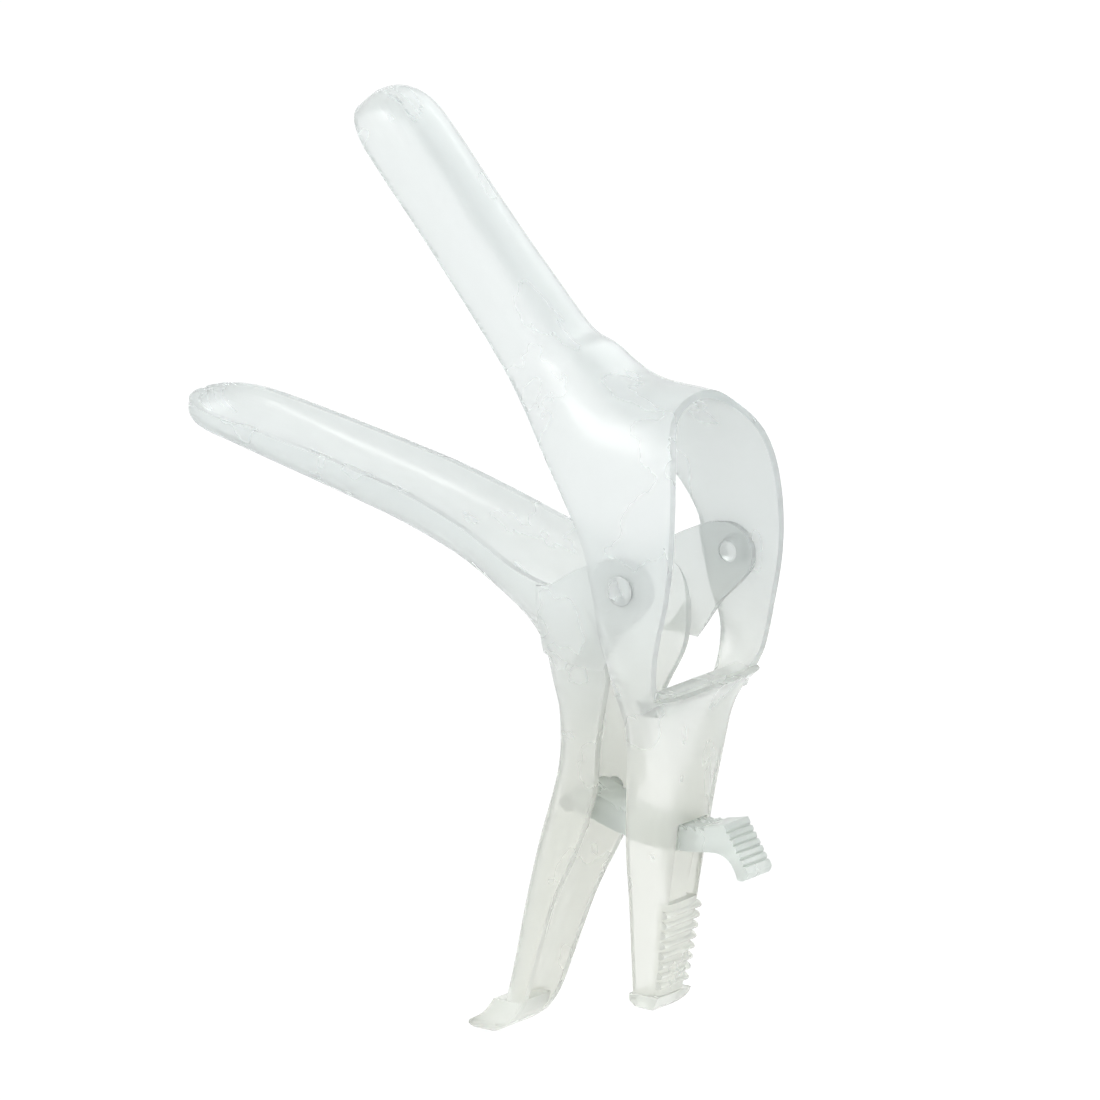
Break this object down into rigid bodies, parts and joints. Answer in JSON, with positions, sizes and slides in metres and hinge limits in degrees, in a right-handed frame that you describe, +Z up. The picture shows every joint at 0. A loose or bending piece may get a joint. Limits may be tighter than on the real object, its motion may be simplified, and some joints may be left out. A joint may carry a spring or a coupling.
{
  "type": "bivalve speculum",
  "caption": "Clear moulded duckbill speculum: narrow upper blade with yoke ring and ribbed rear handle, trough lower blade with front handle, and a toothed strap lock with a thumb tab.",
  "frame": {"origin": "Middle of the hinge axis, between the two pivots", "axes": "+X from the hinge back to the user, out of the viewing window; +Y across the object along the hinge axis; +Z up, away from the handles"},
  "size_m": [0.147, 0.0458, 0.206],
  "materials": {
    "clear_plastic": "clear moulded polystyrene, gloss",
    "milky_plastic": "milky translucent moulding, soft gloss"
  },
  "bodies": {
    "rear_moulding": {"upper_blade": "clear_plastic"},
    "front_moulding": {"lower_blade": "clear_plastic", "pivot_pin_left": "clear_plastic", "pivot_pin_right": "clear_plastic"},
    "strap": {"ratchet_strap": "milky_plastic"}
  },
  "joints": [
    {"name": "blade_hinge", "type": "hinge", "parent": "rear_moulding", "child": "front_moulding", "pos_m": [0, 0, 0], "axis": [0, 1, 0], "range_deg": [-8, 38]},
    {"name": "strap_hinge", "type": "hinge", "parent": "front_moulding", "child": "strap", "pos_m": [-0.02243, 0, -0.05284], "axis": [0, 1, 0], "range_deg": [0, 6]}
  ]
}
